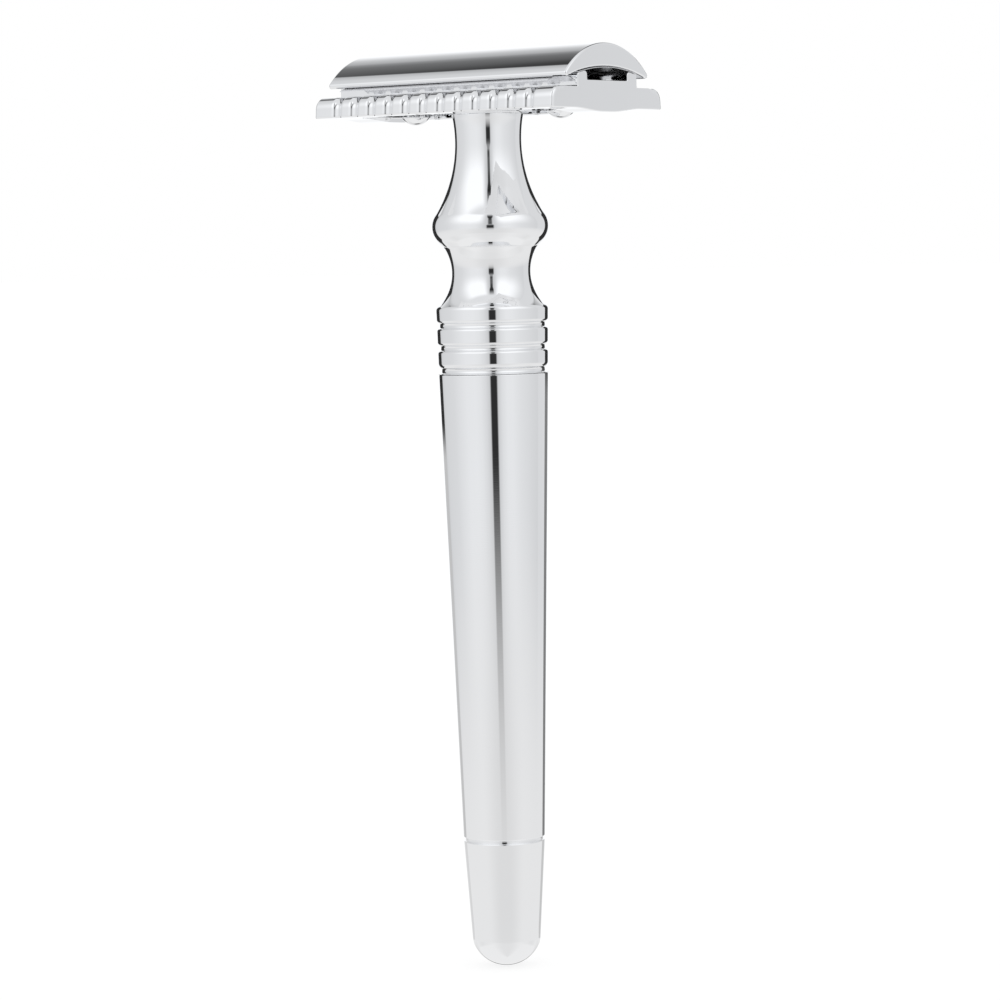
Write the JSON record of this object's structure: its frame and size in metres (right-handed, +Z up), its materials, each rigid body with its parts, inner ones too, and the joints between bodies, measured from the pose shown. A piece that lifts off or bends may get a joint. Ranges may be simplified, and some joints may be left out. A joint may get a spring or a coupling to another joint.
{
  "type": "safety razor",
  "caption": "Long-handled safety razor: a curved cap and a scalloped base plate clamp a double-edge blade, held by a post that screws into a turned handle.",
  "frame": {"origin": "lowest point of the foot's rounded end, on the handle's axis", "axes": "+Z up the handle to the head, X along the head and the blade's edges, Y across the head; the front and back, and the left and right, are alike"},
  "size_m": [0.043, 0.0266, 0.1335],
  "materials": {
    "chrome_plate": "mirror-polished chrome plating",
    "steel": "turned and threaded steel, satin",
    "blade_steel": "fine ground stainless strip with brighter honed edges",
    "brass": "machined brass, plain",
    "rubber": "matt black nitrile rubber"
  },
  "bodies": {
    "handle": {"handle_neck": "chrome_plate", "thread_insert": "brass", "neck_seal": "rubber", "barrel": "chrome_plate", "tie_rod": "steel", "foot_seal": "rubber", "foot_cap": "chrome_plate"},
    "base_plate": {"base_plate": "chrome_plate"},
    "blade": {"blade": "blade_steel"},
    "cap": {"cap": "chrome_plate", "cap_post": "steel", "guide_stud_left": "chrome_plate", "guide_stud_right": "chrome_plate"}
  },
  "joints": [
    {"name": "head_unscrew", "type": "hinge", "parent": "handle", "child": "base_plate", "pos_m": [0, 0, 0.124], "axis": [0, 0, 1], "range_deg": [0, 2160]},
    {"name": "cap_lift", "type": "slide", "parent": "base_plate", "child": "cap", "axis": [0, 0, 1], "range_m": [0, 0.0048]},
    {"name": "blade_lift", "type": "slide", "parent": "base_plate", "child": "blade", "axis": [0, 0, 1], "range_m": [0, 0.0024]}
  ],
  "couplings": [
    {"joint": "cap_lift", "follows": "head_unscrew", "m_per_rad": 0.00012732},
    {"joint": "blade_lift", "follows": "head_unscrew", "m_per_rad": 0.000063661}
  ]
}
